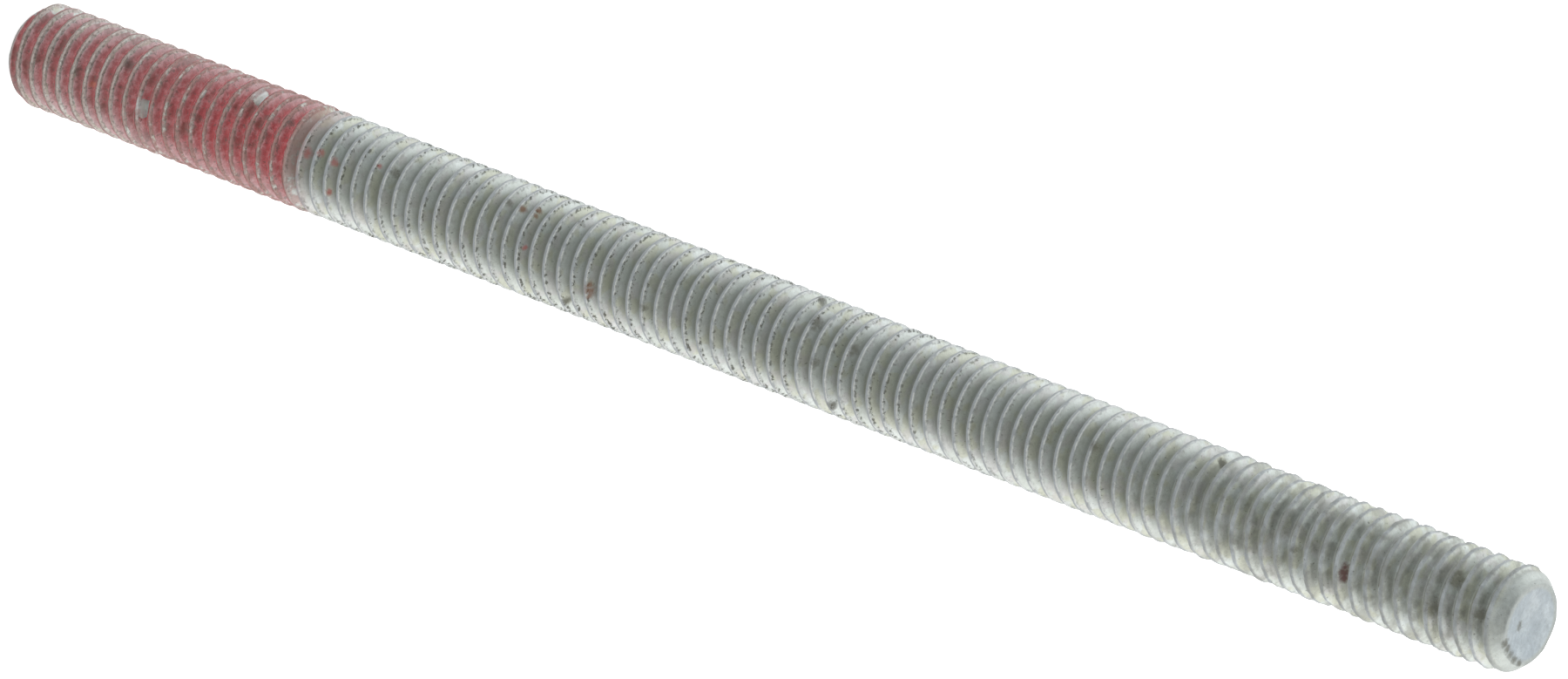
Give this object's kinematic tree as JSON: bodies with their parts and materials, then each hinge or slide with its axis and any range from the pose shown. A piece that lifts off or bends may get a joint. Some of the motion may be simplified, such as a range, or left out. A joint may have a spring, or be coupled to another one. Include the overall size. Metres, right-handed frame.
{
  "type": "screw pin",
  "caption": "Headless steel pin threaded over its whole length, with a dried thread-locking coat on one end; it screws into a tapped hole.",
  "frame": {"origin": "middle of the coated end's face, on the surface that the pin stands on", "axes": "+Z along the pin's axis, from the coated end up to the bare end"},
  "size_m": [0.006, 0.006, 0.106],
  "materials": {
    "zinc_plated_steel": "satin pale grey zinc plating, lightly worn, with small dark specks and rust spots",
    "thread_lock_coat": "dried dusty rose to crimson thread-locking compound in the thread grooves"
  },
  "bodies": {
    "root": {"screw_pin": "zinc_plated_steel"}
  },
  "joints": []
}
